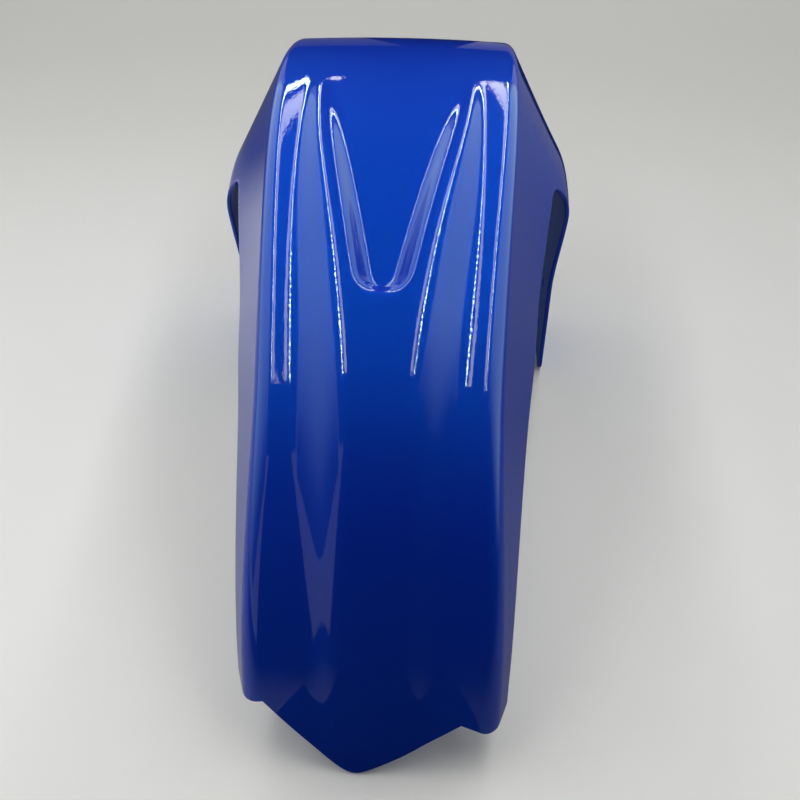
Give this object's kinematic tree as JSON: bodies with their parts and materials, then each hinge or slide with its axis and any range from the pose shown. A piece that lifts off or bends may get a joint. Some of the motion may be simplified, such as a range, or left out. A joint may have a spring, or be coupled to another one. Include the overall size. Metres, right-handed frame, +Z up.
{
  "type": "motorbike tire hugger",
  "caption": "Thin moulded shell that arches over a motorbike's rear tyre, with a recessed crest, raised ridges joining into a spine, flared side walls, a pointed tail and side legs to bolt on.",
  "frame": {"origin": "middle of the length and width, on the floor that the tail tip and the feet of the legs stand on", "axes": "+Y runs forward from the pointed tail to the front lip, +X is to the part's right, +Z is up"},
  "size_m": [0.2342, 0.4806, 0.2542],
  "materials": {
    "metallic_blue_paint": "gloss metallic blue paint under clear coat on fibreglass"
  },
  "bodies": {
    "root": {"hugger_shell": "metallic_blue_paint"}
  },
  "joints": []
}
